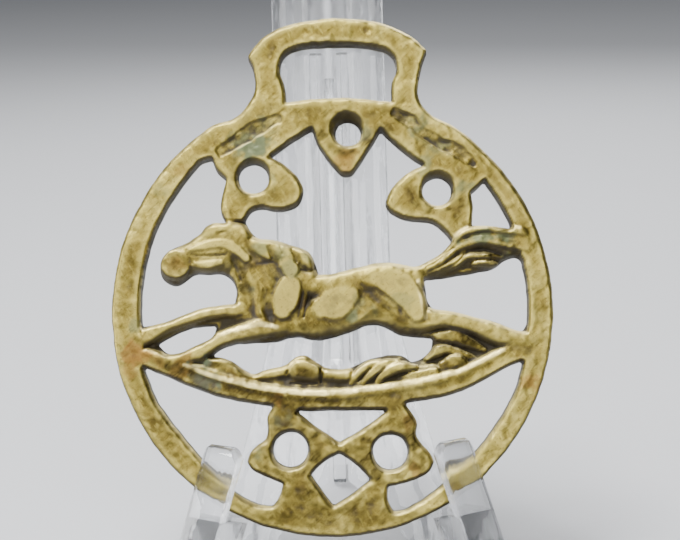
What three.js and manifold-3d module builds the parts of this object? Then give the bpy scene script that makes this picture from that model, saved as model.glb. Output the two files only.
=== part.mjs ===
// A cast horse brass with a strap loop, standing in a clear plastic easel.
// Millimetres, +Z up. The brass faces -Y and leans back on the easel's stem.
import * as THREE from 'three';
import { mergeVertices } from 'three/addons/utils/BufferGeometryUtils.js';
import Module from 'manifold-3d';

const wasm = await Module();
wasm.setup();

// ---- Driving sizes ----
const RIM_RX = 37.7; // half width of the disc
const RIM_RY = 38.4; // half height of the disc
const FACE = 3.1; // thickness of the flat frame
const FLOOR = 1.5; // thickness of the sunk ground behind the figure
const FILED = 3.9; // height at which the figure's high places are filed flat
const POCKET = 1.9; // height left under the two rough pockets
const DRAFT = 0.15; // how far a cast wall leans in, per mm of height
const EDGE = 0.35; // rounding of the face's edges
const STEP = 1.9; // length of one facet along a smooth outline
const RIDGE_STEP = 2.4; // length of one facet along a ridge of the relief
const WELD = 0.006; // corners closer than this are one corner
const LEAN = 22; // degrees that the brass leans back
const CENTRE_UP = 46; // height of the disc's centre over the table
const GAP = 0.3; // clearance between neighbouring pieces

const BRASS_TURN = -1.5; // degrees that the brass sits turned in the easel
const BRASS_ASIDE = -0.4; // how far its centre sits left of the easel's middle

const STEM_T = 3; // thickness of the easel's fluted stem
const STEM_TOP = 57; // its top, measured up the stem from the disc's centre
const FLUTES = 5; // hollow flutes down its front
const FLUTE_DEPTH = 0.6;
const FOOT_X = 17.4; // where a foot crosses the brass's back, from the easel's middle
const FOOT_NOTCH = 14; // height of the notch's floor over the table there
const FOOT_W = 6.2; // width of a foot and of the lip on its front
const LIP_TOP = 27; // height of the lip over the table
const SPLAY = 24; // degrees that the feet turn outwards
const STRUT_T = 2.6; // thickness of the rear strut
const RAIL = { top: 46, bottom: -9, width: 1.5, depth: 2.5 }; // the two rails that hold the strut

// ---- Outlines of the openings: smooth runs that meet at corners ----
// x is to the right and y up the face, from the disc's centre.
const POLL = [-18.5, 15];
const foreheadRun = [POLL, [-20, 15.1], [-21.5, 14.6], [-23, 12.9], [-25, 11.8], [-28, 10.5],
  [-29.6, 8.4], [-29.5, 5.8], [-28, 4.3], [-26.2, 4.1], [-24.9, 5]];
const jawRun = [[-24.9, 5], [-23.5, 6], [-21, 6], [-18.7, 6], [-17.3, 4.9], [-16.6, 3], [-16.8, 1.2]];
const foreUpperRun = [[-16.8, 1.2], [-20, 0.8], [-23.5, 0], [-28, -1.8], [-31.6, -2.6]];
const leftPendantOuterRun = [POLL, [-19.2, 16.5], [-19.2, 19], [-18.4, 22.4]];
const leftPendantNeckRun = [[-18.4, 22.4], [-20, 24], [-20.9, 25.9]];
const leftPendantInnerRun = [[-15, 15.2], [-14.3, 16.2], [-13, 17.4], [-10, 17], [-7, 17.3], [-5.3, 19],
  [-5.2, 21.8], [-8, 25], [-10.5, 26.4]];
const leftBandRun = [[-10.5, 26.4], [-8, 28.4], [-5.5, 30], [-3.6, 31]];
const centrePendantRun = [[-3.6, 31], [-2.3, 28], [0, 24.8], [2.1, 22.9], [4, 24], [6.6, 28], [8.3, 31]];
const rightBandRun = [[8.3, 31], [10, 29.2], [13, 26.7], [15.5, 25]];
const rightPendantInnerRun = [[15.5, 25], [13, 23.9], [11, 22], [9.3, 19.6], [9.2, 17.5], [11, 16],
  [13.5, 15.3], [15.5, 15.2], [17.3, 14.7], [19.3, 13.1], [20.3, 11.8]];
const rightPendantOuterRun = [[24, 14.6], [24.2, 17.5], [24, 20]];
const tailTopRun = [[20.3, 11.8], [18.5, 9.8], [16, 8.3], [14.3, 7.6]];
const backRun = [[14.3, 7.6], [11, 8.1], [8, 8.3], [4, 7.3], [0, 6.3], [-2.3, 6.1]];
const maneRun = [[-2.3, 6.1], [-2.9, 8.2], [-4, 10.2], [-7, 11.3], [-10, 12.2], [-13, 12.6], [-15, 15.2]];
const tailUnderRun = [[15.9, 5], [19, 5.3], [23, 6], [25.5, 6.6], [27.6, 6.8], [29, 8.2], [31.5, 9],
  [32.9, 8.3]];
const rumpRun = [[17.2, 0.3], [16.3, 2], [15.9, 5]];
const hindUpperRun = [[33.1, -3.5], [31, -3.3], [28, -2], [24.5, -1.2], [21, -0.2], [17.2, 0.3]];
const bellyRun = [[-20.4, -7.9], [-18, -6.4], [-14, -5.8], [-9.5, -5.6], [-6.3, -4.7], [-3, -5.3],
  [0, -5], [3, -4], [6.5, -2.7], [9, -3.2], [12, -4.5], [17, -5]];
const grassRun = [[17, -5], [17, -6.2], [15, -8.3], [13.6, -8.8], [11.5, -7.5], [9, -7.7], [6, -8.4],
  [3, -9.8], [0, -9.9], [-2, -9.3], [-4, -7.8], [-6, -7.8], [-8, -9.2], [-11, -10], [-13.5, -10.8],
  [-15.5, -9.5], [-18, -8.2], [-20.4, -7.9]];
const barUnderLeftRun = [[-31.9, -10], [-29, -11.2], [-25, -12.9], [-20, -14.7], [-15, -15.8],
  [-10.2, -16.5]];
const barUnderRightRun = [[12.6, -16], [18, -15], [22, -13.9], [26, -12], [29.5, -10], [32.2, -9]];
const leftCurlRun = [[-10.2, -16.5], [-11.2, -18.6], [-11, -21.2], [-12.4, -22.6], [-14.2, -24.6],
  [-14.3, -26.5], [-12, -28], [-8.4, -29.5]];
const leftFootRun = [[-8.4, -29.5], [-9, -31.5], [-10, -33]];
const rightCurlRun = [[12.6, -16], [14.4, -19], [14.2, -21.6], [16, -23.4], [17.3, -25.6],
  [16.2, -27.7], [13, -29.2], [9.5, -30]];
const rightFootRun = [[9.5, -30], [9.5, -32], [10.3, -33.9]];
const rimLowerLeftRun = [[-10, -33], [-13, -32.4], [-17, -30.1], [-22, -25], [-26, -20.4],
  [-29.5, -15.6], [-31.9, -10]];
const rimLowerRightRun = [[10.3, -33.9], [13, -33.2], [19, -29], [23, -25], [27, -20.2],
  [30.5, -14.5], [32.2, -9]];

const rimInside = (fromDeg, toDeg) => {
  const points = [];
  const count = Math.max(2, Math.round(Math.abs(toDeg - fromDeg) / 6));
  for (let i = 0; i <= count; i++) {
    const a = THREE.MathUtils.degToRad(fromDeg + ((toDeg - fromDeg) * i) / count);
    points.push([0.35 + 32.85 * Math.cos(a), 0.6 + 34.6 * Math.sin(a)]);
  }
  return points;
};

const flip = (run) => [...run].reverse();

const WINDOWS = {
  headSide: [foreheadRun, jawRun, foreUpperRun, rimInside(185.5, 131), flip(leftPendantNeckRun),
    flip(leftPendantOuterRun)],
  overBack: [centrePendantRun, rightBandRun, rightPendantInnerRun, tailTopRun, backRun, maneRun,
    leftPendantInnerRun, leftBandRun],
  overTail: [rightPendantOuterRun, [[24, 20], [26.6, 22.4]], [[26.6, 22.4], [29, 20], [31, 16.7],
    [32.3, 13.9]], [[32.3, 13.9], [28, 14.3], [24, 14.6]]],
  behindRump: [tailUnderRun, rimInside(12.8, -6.8), hindUpperRun, rumpRun],
  forelegs: [[[-29.5, -6], [-27, -4.5], [-24, -3.3], [-20, -2.9]], [[-20, -2.9], [-20.6, -4.6],
    [-24, -6.4], [-27, -7.4], [-29, -6.9], [-29.5, -6]]],
  underBelly: [bellyRun, grassRun],
  lowerLeft: [barUnderLeftRun, leftCurlRun, leftFootRun, rimLowerLeftRun],
  lowerRight: [flip(barUnderRightRun), rightCurlRun, rightFootRun, rimLowerRightRun],
  upperTriangle: [[[-5.6, -17.3], [1.5, -17.2], [9, -17.2]], [[9, -17.2], [5.5, -19.8], [1.2, -22.3]],
    [[1.2, -22.3], [-2.5, -19.9], [-5.6, -17.3]]],
  diamond: [[[1.1, -24.5], [-1.5, -26], [-3.4, -27.9]], [[-3.4, -27.9], [-1.6, -30.5], [0.3, -32.9]],
    [[0.3, -32.9], [3.2, -31], [6.3, -28.7]], [[6.3, -28.7], [4, -26.3], [1.1, -24.5]]],
};

// Round holes: centre x, centre y, radius.
const HOLES = [[-13.6, 22.7, 2.5], [2.7, 30.6, 2.1], [18, 20.5, 2.35], [-7, -23.7, 2.85],
  [9.8, -24.1, 2.85]];

// The outside: the disc, with the strap loop on top of it.
const NECK_LEFT = [-20.4, 32.3];
const NECK_RIGHT = [20.4, 32.3];
const loopRuns = [
  [NECK_RIGHT, [17, 34], [15.2, 36.3], [14.9, 39], [15.8, 43], [16.6, 45.2]],
  [[16.6, 45.2], [13.5, 48], [8, 50.3], [0.6, 51.1], [-7, 50.1], [-12, 47.8], [-15, 44.2]],
  [[-15, 44.2], [-13.7, 41], [-13.7, 38], [-15.5, 34.7], [-17.5, 33.2], NECK_LEFT],
];
const slotRuns = [[[-7.9, 36.2], [1, 37], [10, 36.3]], [[10, 36.3], [10.2, 39.5], [11, 42.5],
  [9.6, 44.9], [6, 45.8], [1, 46.1], [-5, 45.8], [-8, 44.6], [-9.1, 42.2], [-8.2, 39], [-7.9, 36.2]]];

// ---- The sunk ground around the figure, cut out of the raised frame ----
// The ground line's raised back, as [x, y, half width, height]; the ground ends under it.
const BAR_RIDGE = [[-31.5, -7.4, 0.9, 3.3], [-22, -10.5, 1.1, 3.7], [-11, -13.5, 1.1, 3.7],
  [-2, -14.3, 1.1, 3.7], [8, -13.4, 1.1, 3.7], [20, -11.3, 1.1, 3.7], [28, -7.6, 1, 3.6],
  [32, -5, 0.8, 3.3]];
const groundRuns = [
  rimInside(191, 131),
  flip(leftPendantNeckRun), flip(leftPendantOuterRun), [POLL, [-16.8, 14.4], [-15, 15.2]],
  leftPendantInnerRun, leftBandRun, centrePendantRun, rightBandRun, rightPendantInnerRun,
  [[20.3, 11.8], [22.2, 12.7], [24, 14.6]], rightPendantOuterRun, [[24, 20], [26.6, 22.4]],
  rimInside(40, -8),
  flip(BAR_RIDGE).map(([x, y]) => [x, y + 0.45]),
];
const pocketLeft = [[[-20, 28.4], [-17.8, 30.2], [-14, 31.2], [-11, 33.6], [-9, 33.4]],
  [[-9, 33.4], [-10.5, 31], [-14.5, 28.9], [-18, 27], [-20, 28.4]]];
const pocketRight = [[[10.4, 33.2], [12.4, 34.9], [14.2, 32.4], [17.5, 29.6], [21, 28.4], [24.8, 25]],
  [[24.8, 25], [21.5, 26.2], [17.5, 28.2], [14, 31.2], [10.4, 33.2]]];

// ---- The relief: ridges with a rounded back, as [x, y, half width, height] ----
const RELIEF = {
  head: [[-26.6, 7.9, 2.9, 2.9], [-23.5, 9.1, 3, 3.1], [-20.5, 10, 3.9, 3.4], [-17, 10.2, 4.6, 3.5]],
  cheek: [[-22.8, 10.4, 0.9, 3.5], [-20, 11.2, 1.1, 3.9], [-17.2, 10.8, 1.1, 4], [-15, 8, 0.8, 3.5]],
  jawbone: [[-23.6, 7.4, 0.9, 3.2], [-20.5, 7.6, 1.2, 3.3], [-18, 7.8, 1, 3.1]],
  forelock: [[-21.4, 13, 1.3, 3.4], [-19.4, 13.9, 1.6, 3.8], [-16.6, 13.3, 1.5, 3.6]],
  throat: [[-15, 8, 3, 2.9], [-13.5, 4.5, 4, 3], [-12.6, 0.5, 4.6, 3], [-13, -2, 3, 2.8]],
  mane: [[-15.2, 11.8, 1.5, 3.5], [-12, 10.2, 2.2, 4.3], [-8.4, 9.4, 2.4, 4.5], [-5, 8.6, 2, 4.1]],
  maneLock: [[-9.2, 9.4, 1.8, 4.2], [-7.4, 7.2, 2.1, 4.5]],
  neckRidge: [[-13, 7.4, 0.7, 3.1], [-10.8, 6.3, 0.8, 3.3], [-8.8, 4.9, 1.2, 3.4]],
  back: [[-6.5, 4.3, 2.6, 3.5], [-1, 3.9, 2.6, 3.6], [4, 5, 2.5, 3.5], [10, 5.5, 2.9, 3.9],
    [14, 5.2, 2.6, 3.7]],
  shoulder: [[-7.4, 4.2, 2.6, 4.2], [-8, 1.8, 2.9, 4.7], [-8.1, -0.6, 2.4, 4.3]],
  ribs: [[-1.4, -0.3, 3, 4.3], [1, 0.8, 3.6, 4.8], [2.7, 2, 2.6, 4.3]],
  barrel: [[-9, -1.6, 3.6, 3], [-3, -1.6, 3.6, 3.1], [3, -0.7, 3.4, 3.1], [8.5, -0.6, 2.8, 2.9],
    [13, -1.8, 3.2, 3]],
  haunch: [[7.6, 5.2, 2, 4.1], [11, 4.2, 3.5, 4.8], [13.6, 1.6, 3.2, 4.7], [15, -0.8, 2, 4.1]],
  flankFold: [[3.5, -1.9, 0.5, 3.1], [5.3, -0.4, 0.9, 3.4], [7.1, 1, 0.5, 3.1]],
  farForeleg: [[-14.5, 0, 1.6, 2.6], [-19, -0.2, 1.4, 3], [-23, -1.1, 1.3, 3], [-28, -2.9, 1.2, 2.9],
    [-32.2, -4.9, 1.8, 3.1]],
  nearForeleg: [[-9, -2.6, 2.6, 3.2], [-14.5, -3.8, 1.8, 3.4], [-19.5, -5.5, 1.6, 3.3],
    [-23, -7.5, 1.7, 3.3], [-28, -9, 1.6, 3.2]],
  nearHindleg: [[14.4, -1.2, 2.4, 3.6], [19, -1.5, 1.7, 3.4], [24, -2.5, 1.5, 3.3],
    [28.5, -4, 1.7, 3.4], [33, -5.4, 2, 3.2]],
  farHindleg: [[19.4, -4.4, 1, 2.4], [22.6, -4.7, 1.4, 3], [26.4, -6.1, 0.9, 2.5]],
  farHoof: [[17.4, -8.4, 1.4, 2.6], [20.5, -8.5, 1.6, 3.1], [24, -8.9, 0.9, 2.4]],
  hoofRidge: [[16.8, -7.2, 0.8, 2.6], [20.3, -6.8, 0.9, 2.9], [24.2, -8.2, 0.6, 2.5]],
  tailRoot: [[14.2, 6.6, 1.4, 3.4], [18, 7.6, 2, 3.3], [21.6, 9.4, 2.8, 3.1]],
  tailTop: [[19.6, 9.9, 1, 3.2], [22.6, 12.5, 1.1, 3.6], [26.5, 13.2, 1.3, 3.7], [32.6, 12.6, 1.5, 3.3]],
  tailMiddle: [[20.4, 8.6, 0.9, 3.2], [24, 11, 1, 3.4], [28.4, 10.9, 1, 3.3], [33, 10.4, 1.1, 3]],
  tailLower: [[19.4, 7, 1, 3], [23, 8.5, 1.1, 3.5], [25.8, 8.6, 1.1, 3.5], [28, 7.7, 0.8, 2.8]],
  tuft: [[-20.4, -9.3, 0.9, 2.6], [-18, -9.3, 1.2, 2.8], [-15.6, -10.6, 1, 2.6], [-12.8, -12, 0.8, 2.4]],
  pebbles: [[-12.6, -11.3, 0.9, 2.5], [-10, -10.8, 1, 2.6], [-8, -10.4, 0.9, 2.5]],
  rock: [[-5.6, -10.2, 2, 3.5], [-3.8, -10.7, 2.1, 3.5]],
  stone: [[-0.6, -11.5, 1.1, 2.8], [2, -11.6, 1.2, 2.9]],
  bladeUpper: [[3.2, -11.2, 0.7, 2.7], [6, -9.5, 0.8, 3], [10, -8.6, 0.9, 3.1], [13, -9.4, 0.8, 2.8]],
  bladeLower: [[5, -12, 0.7, 2.6], [8.4, -10.2, 0.9, 3], [12.4, -10.2, 0.8, 2.9], [16.4, -8.4, 0.8, 2.7]],
  ledge: [[9, -12, 0.7, 2.6], [13, -11.4, 0.9, 2.8], [17.6, -10.4, 0.9, 2.7]],
};
const MUZZLE = { x: -26.7, y: 7.6, radius: 2.4, height: 3.4 };

// ---- Making closed bodies ----
function alongRun(run, step) {
  const curve = new THREE.SplineCurve(run.map(([x, y]) => new THREE.Vector2(x, y)));
  return curve.getSpacedPoints(Math.max(1, Math.round(curve.getLength() / step))).slice(0, -1);
}

const outline = (runs, step = STEP) => runs.flatMap((run) => alongRun(run, step));

function ellipsePoints(cx, cy, rx, ry, count) {
  return Array.from({ length: count }, (_, i) => {
    const a = (2 * Math.PI * i) / count;
    return new THREE.Vector2(cx + rx * Math.cos(a), cy + ry * Math.sin(a));
  });
}

function brassOutside() {
  const start = Math.atan2(NECK_LEFT[1] / RIM_RY, NECK_LEFT[0] / RIM_RX);
  const sweep = 2 * Math.PI + Math.atan2(NECK_RIGHT[1] / RIM_RY, NECK_RIGHT[0] / RIM_RX) - start;
  const count = 96;
  const disc = [];
  for (let i = 0; i < count; i++) {
    const a = start + (sweep * i) / count;
    disc.push(new THREE.Vector2(RIM_RX * Math.cos(a), RIM_RY * Math.sin(a)));
  }
  return [...disc, ...outline(loopRuns)];
}

// Moves every corner of a closed outline along its normal, inwards when inset > 0.
function offsetOutline(points, inset) {
  const side = THREE.ShapeUtils.isClockWise(points) ? -1 : 1;
  return points.map((p, i) => {
    const before = points[(i + points.length - 1) % points.length];
    const after = points[(i + 1) % points.length];
    const a = new THREE.Vector2(p.x - before.x, p.y - before.y).normalize();
    const b = new THREE.Vector2(after.x - p.x, after.y - p.y).normalize();
    const normal = new THREE.Vector2(-a.y - b.y, a.x + b.x).normalize();
    const cosine = Math.max(0.6, normal.x * -a.y + normal.y * a.x);
    return new THREE.Vector2(p.x + (side * inset * normal.x) / cosine, p.y + (side * inset * normal.y) / cosine);
  });
}

function indexed(positions, triangles) {
  const geometry = new THREE.BufferGeometry();
  geometry.setAttribute('position', new THREE.Float32BufferAttribute(positions, 3));
  geometry.setIndex(triangles);
  return geometry;
}

function toSolid(geometry, matrix = new THREE.Matrix4()) {
  const bare = geometry.clone().applyMatrix4(matrix);
  bare.deleteAttribute('normal');
  bare.deleteAttribute('uv');
  const merged = mergeVertices(bare, 1e-4);
  return new wasm.Manifold(new wasm.Mesh({
    numProp: 3,
    vertProperties: new Float32Array(merged.attributes.position.array),
    triVerts: new Uint32Array(merged.index.array),
  }));
}

// Gives every corner the number of the first corner found within WELD of it.
function weldedCorners(vertices) {
  const cells = new Map();
  const cellOf = (i, k, shift) => Math.floor(vertices[3 * i + k] / WELD) + shift;
  return Array.from({ length: vertices.length / 3 }, (_, i) => {
    for (let n = 0; n < 27; n++) {
      const key = [cellOf(i, 0, (n % 3) - 1), cellOf(i, 1, (Math.floor(n / 3) % 3) - 1),
        cellOf(i, 2, Math.floor(n / 9) - 1)].join();
      if (cells.has(key)) return cells.get(key);
    }
    cells.set([cellOf(i, 0, 0), cellOf(i, 1, 0), cellOf(i, 2, 0)].join(), i);
    return i;
  });
}

// The finished surface of a solid, without the slivers that a cut leaves along shared lines.
function toGeometry(solid) {
  const { vertProperties, triVerts } = solid.getMesh();
  const corner = weldedCorners(vertProperties);
  const faces = new Map();
  for (let i = 0; i < triVerts.length; i += 3) {
    const face = [corner[triVerts[i]], corner[triVerts[i + 1]], corner[triVerts[i + 2]]];
    if (new Set(face).size < 3) continue;
    const key = [...face].sort((a, b) => a - b).join();
    if (faces.has(key)) faces.delete(key);
    else faces.set(key, face);
  }
  return indexed(vertProperties, [...faces.values()].flat());
}

// A plate whose walls step through levels of { z, inset }; holes widen as the outside narrows.
function plate(outside, holes, levels) {
  const loops = [outside, ...holes];
  const oriented = loops.map((loop, i) => (THREE.ShapeUtils.isClockWise(loop) === (i > 0) ? loop : flip(loop)));
  const total = oriented.reduce((sum, loop) => sum + loop.length, 0);
  const positions = [];
  for (const { z, inset } of levels) {
    oriented.forEach((loop, i) => {
      for (const p of offsetOutline(loop, i === 0 ? inset : -inset)) positions.push(p.x, p.y, z);
    });
  }
  const caps = THREE.ShapeUtils.triangulateShape(oriented[0], oriented.slice(1));
  const triangles = [];
  const top = total * (levels.length - 1);
  for (const [a, b, c] of caps) triangles.push(c, b, a, top + a, top + b, top + c);
  for (let level = 0; level < levels.length - 1; level++) {
    let start = level * total;
    for (const loop of oriented) {
      for (let i = 0; i < loop.length; i++) {
        const a = start + i;
        const b = start + ((i + 1) % loop.length);
        triangles.push(a, b, b + total, a, b + total, a + total);
      }
      start += loop.length;
    }
  }
  return indexed(positions, triangles);
}

// The wall of a casting leans in by the draft, to a plain top edge or to a rounded one. A wall
// that starts further inside stands within its neighbour's and never shares a face with it.
const castWall = (height, inside = 0) => [
  { z: 0, inset: inside },
  { z: height, inset: inside + DRAFT * height },
];
const roundedWall = (height) => [...castWall(height - EDGE), { z: height, inset: DRAFT * height + EDGE * 0.8 }];

// A ridge along a smooth line: half an ellipse in section, with rounded ends.
function ridge(stations, bottom = 0.6, sides = 5) {
  const line = new THREE.CatmullRomCurve3(stations.map(([x, y]) => new THREE.Vector3(x, y, 0)));
  const count = Math.max(Math.round(line.getLength() / RIDGE_STEP), 1);
  const at = (t, k) => {
    const f = t * (stations.length - 1);
    const i = Math.min(Math.floor(f), stations.length - 2);
    return THREE.MathUtils.lerp(stations[i][k], stations[i + 1][k], f - i);
  };
  const rings = [];
  const ends = [[-0.75, 0.6]];
  const addRing = (t, along, size) => {
    const tangent = line.getTangent(t);
    const width = at(t, 2);
    const centre = line.getPoint(t).addScaledVector(tangent, along * width);
    const rise = (at(t, 3) - bottom) * size;
    const ring = [];
    for (let i = 0; i <= sides; i++) {
      const a = (Math.PI * i) / sides;
      const across = Math.cos(a) * width * size;
      ring.push(centre.x - tangent.y * across, centre.y + tangent.x * across, bottom + Math.sin(a) * rise);
    }
    rings.push(ring);
  };
  for (const [along, size] of ends) addRing(0, along, size);
  for (let i = 0; i <= count; i++) addRing(i / count, 0, 1);
  for (const [along, size] of flip(ends)) addRing(1, -along, size);
  return loftRings(rings, sides + 1);
}

// Joins rings of equal length into a closed body with flat ends.
function loftRings(rings, size) {
  const triangles = [];
  for (let r = 0; r < rings.length - 1; r++) {
    for (let i = 0; i < size; i++) {
      const a = r * size + i;
      const b = r * size + ((i + 1) % size);
      triangles.push(a, b, b + size, a, b + size, a + size);
    }
  }
  const last = (rings.length - 1) * size;
  for (let i = 1; i < size - 1; i++) triangles.push(0, i + 1, i, last, last + i, last + i + 1);
  return indexed(rings.flat(), triangles);
}

const unite = (solids) => solids.reduce((sum, solid) => sum.add(solid));

// Everything between two heights.
function slab(bottom, top) {
  const box = new THREE.BoxGeometry(300, 300, top - bottom);
  box.translate(0, 0, (top + bottom) / 2);
  return toSolid(box);
}

// ---- The brass ----
function makeHorseBrass() {
  const outside = brassOutside();
  const round = HOLES.map(([x, y, r]) => ellipsePoints(x, y, r, r, 18));
  const windows = Object.values(WINDOWS).map((runs) => outline(runs));
  const slot = outline(slotRuns);
  const everyHole = [...windows, ...round, slot];
  const lowFrame = [WINDOWS.lowerLeft, WINDOWS.lowerRight, WINDOWS.upperTriangle, WINDOWS.diamond];
  const frameHoles = [outline(groundRuns), ...lowFrame.map((runs) => outline(runs)), ...round, slot];

  const ground = toSolid(plate(outside, everyHole, castWall(FLOOR, 0.04)));
  const frame = toSolid(plate(outside, frameHoles, roundedWall(FACE)));
  const reach = toSolid(plate(outside, everyHole, castWall(FILED + 0.6, 0.08)));
  const pockets = [pocketLeft, pocketRight].map((runs) =>
    toSolid(plate(outline(runs), [], [{ z: POCKET, inset: 0.4 }, { z: FACE + 1, inset: -0.2 }])));
  const muzzleDisc = ellipsePoints(MUZZLE.x, MUZZLE.y, MUZZLE.radius, MUZZLE.radius, 16);
  const muzzle = toSolid(plate(muzzleDisc, [], [{ z: 0.6, inset: -0.6 }, { z: MUZZLE.height, inset: 0 }]));
  const ridges = [...Object.values(RELIEF), BAR_RIDGE].map((stations) => toSolid(ridge(stations)));
  const raised = unite([...ridges, muzzle]).intersect(reach).intersect(slab(0.3, FILED));
  return toGeometry(unite([ground, frame.subtract(unite(pockets)), raised]));
}

// ---- The easel, in the leaning plane: x across, y up from the disc's centre, z forward ----
const leanMatrix = new THREE.Matrix4().makeRotationX(THREE.MathUtils.degToRad(90 - LEAN));
leanMatrix.setPosition(0, 0, CENTRE_UP);

// Height up the plane and half width there: a straight stem that flares into two legs.
const STEM_SIDES = [[STEM_TOP, 9.2], [STEM_TOP - 1.2, 9.75], [8, 9.75], [1, 10.4], [-5, 11.6], [-16, 14.1],
  [-24, 16.4], [-28.5, 18.2], [-33, 19.8], [-40, 21.6], [-54, 23]];
const betweenLegs = [[[1.6, -24.6], [0, -23.4], [-1.6, -24.6]], [[-1.6, -24.6], [-1.6, -29]],
  [[-1.6, -29], [-5, -32], [-10, -37.5], [-13.6, -44], [-16, -56]], [[-16, -56], [16, -56]],
  [[16, -56], [13.6, -44], [10, -37.5], [5, -32], [1.6, -29]], [[1.6, -29], [1.6, -24.6]]];

function flutedStem() {
  const perFlute = 4;
  const across = FLUTES * perFlute;
  const rings = STEM_SIDES.map(([y, half]) => {
    const ring = [-half, y, -GAP - STEM_T];
    for (let i = 0; i <= across; i++) {
      const hollow = FLUTE_DEPTH * Math.abs(Math.sin((Math.PI * i) / perFlute));
      ring.push(half * ((2 * i) / across - 1), y, -GAP - hollow);
    }
    return [...ring, half, y, -GAP - STEM_T];
  });
  return loftRings(rings.reverse(), across + 3);
}

function rail(side) {
  const { top, bottom, width, depth } = RAIL;
  const box = new THREE.BoxGeometry(width, top - bottom, depth + 0.5);
  const x = side * (STRUT_T / 2 + GAP + width / 2);
  box.translate(x, (top + bottom) / 2, -GAP - STEM_T + 0.25 - depth / 2);
  return box;
}

// A flat shape drawn as [forward, height], given a thickness across.
function upright(points, thickness) {
  const shape = new THREE.Shape(points.map(([x, y]) => new THREE.Vector2(x, y)));
  const body = new THREE.ExtrudeGeometry(shape, { depth: thickness, bevelEnabled: false });
  return body.translate(0, 0, -thickness / 2);
}

// A foot stands under the stem's plane and comes forward to a lip, with a notch for the rim.
// Drawn with x forward and y up, its walls follow the brass's lean.
const BACKWARD = Math.tan(THREE.MathUtils.degToRad(LEAN)) / Math.cos(THREE.MathUtils.degToRad(SPLAY));
const leaned = (forward, height) => [forward - BACKWARD * (height - FOOT_NOTCH), height];
const footSide = [[-11, 0], leaned(9.3, 0), leaned(9.3, LIP_TOP - 0.8), leaned(8.7, LIP_TOP),
  leaned(7, LIP_TOP), leaned(6.4, LIP_TOP - 0.6), leaned(6.4, FOOT_NOTCH + 1.3),
  leaned(-2.5, FOOT_NOTCH - 1.9), [-9, 10]];
const halfFoot = FOOT_W / 2;
const footFront = [[-halfFoot + 4.5, 0], [halfFoot + 4.5, 0], [halfFoot + 0.4, LIP_TOP],
  [-halfFoot + 2, LIP_TOP], [-halfFoot + 0.6, LIP_TOP - 1.8]];

function foot(side) {
  const place = new THREE.Matrix4().makeRotationZ(THREE.MathUtils.degToRad(side * SPLAY));
  place.setPosition(side * FOOT_X, (FOOT_NOTCH - CENTRE_UP) * Math.tan(THREE.MathUtils.degToRad(LEAN)), 0);
  // The side view looks across, the front view looks back; both stand on the table.
  const sideways = new THREE.Matrix4().makeBasis(new THREE.Vector3(0, -1, 0), new THREE.Vector3(0, 0, 1),
    new THREE.Vector3(-1, 0, 0));
  const facing = new THREE.Matrix4().makeBasis(new THREE.Vector3(1, 0, 0), new THREE.Vector3(0, 0, 1),
    new THREE.Vector3(0, -1, 0));
  const front = footFront.map(([x, y]) => [side * x, y]);
  const fromSide = toSolid(upright(footSide, 20), place.clone().multiply(sideways));
  const fromFront = toSolid(upright(front, 60), place.clone().multiply(facing));
  return fromSide.intersect(fromFront);
}

function makeEaselFront() {
  const gap = plate(outline(betweenLegs, 3), [], [{ z: -9, inset: 0 }, { z: 3, inset: 0 }]);
  const stem = toSolid(flutedStem(), leanMatrix).subtract(toSolid(gap, leanMatrix));
  const rails = [-1, 1].map((side) => toSolid(rail(side), leanMatrix));
  const feet = [-1, 1].map((side) => foot(side));
  return toGeometry(unite([stem, ...rails, ...feet]).intersect(slab(0, 200)));
}

function makeEaselStrut() {
  const onStem = (up, back) => {
    const p = new THREE.Vector3(0, up, -GAP - STEM_T - GAP - back).applyMatrix4(leanMatrix);
    return [p.y, p.z];
  };
  const tail = [[46, 2], [46, 0], [36, 0], [34, 2]];
  const underside = new THREE.QuadraticBezierCurve(new THREE.Vector2(34, 2), new THREE.Vector2(24, 34),
    new THREE.Vector2(...onStem(-8, 7)));
  const arch = underside.getPoints(8).slice(1).map((p) => [p.x, p.y]);
  const points = [onStem(41.5, 0), onStem(41.5, 3), ...tail, ...arch, onStem(-8, 0)];
  return upright(points, STRUT_T).applyMatrix4(new THREE.Matrix4().makeBasis(
    new THREE.Vector3(0, 1, 0), new THREE.Vector3(0, 0, 1), new THREE.Vector3(1, 0, 0)));
}

// ---- The model: every piece named, and its origin under its middle ----
const brass = new THREE.MeshStandardMaterial({ color: 0x9c8a4e, roughness: 0.42, metalness: 1 });
const clearPlastic = new THREE.MeshStandardMaterial({
  color: 0xe8eef2, roughness: 0.08, metalness: 0, transparent: true, opacity: 0.35 });

function named(name, geometry, material) {
  const mesh = new THREE.Mesh(geometry, material);
  mesh.name = name;
  return mesh;
}

const leaning = new THREE.Group();
leaning.applyMatrix4(leanMatrix);
const horseBrass = named('horse_brass', makeHorseBrass(), brass);
horseBrass.rotation.z = THREE.MathUtils.degToRad(BRASS_TURN);
horseBrass.position.x = BRASS_ASIDE;
leaning.add(horseBrass);

const standing = new THREE.Group();
standing.add(leaning);
standing.add(named('easel_front', makeEaselFront(), clearPlastic));
standing.add(named('easel_strut', makeEaselStrut(), clearPlastic));

const middle = new THREE.Box3().setFromObject(standing).getCenter(new THREE.Vector3());
standing.position.set(-middle.x, -middle.y, 0);

const model = new THREE.Group();
model.add(standing);
export default model;
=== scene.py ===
"""A cast horse brass leaning in a clear plastic easel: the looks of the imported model.

The brass is modelled finely here, as a height over its flat back: its outline is the solid's own
outline, and the relief is a list of ridges and grooves. Sizes are in millimetres until a mesh is made.
"""

import math

import bmesh
import bpy
import numpy as np
from mathutils import Matrix, Vector
from mathutils.geometry import delaunay_2d_cdt


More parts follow.
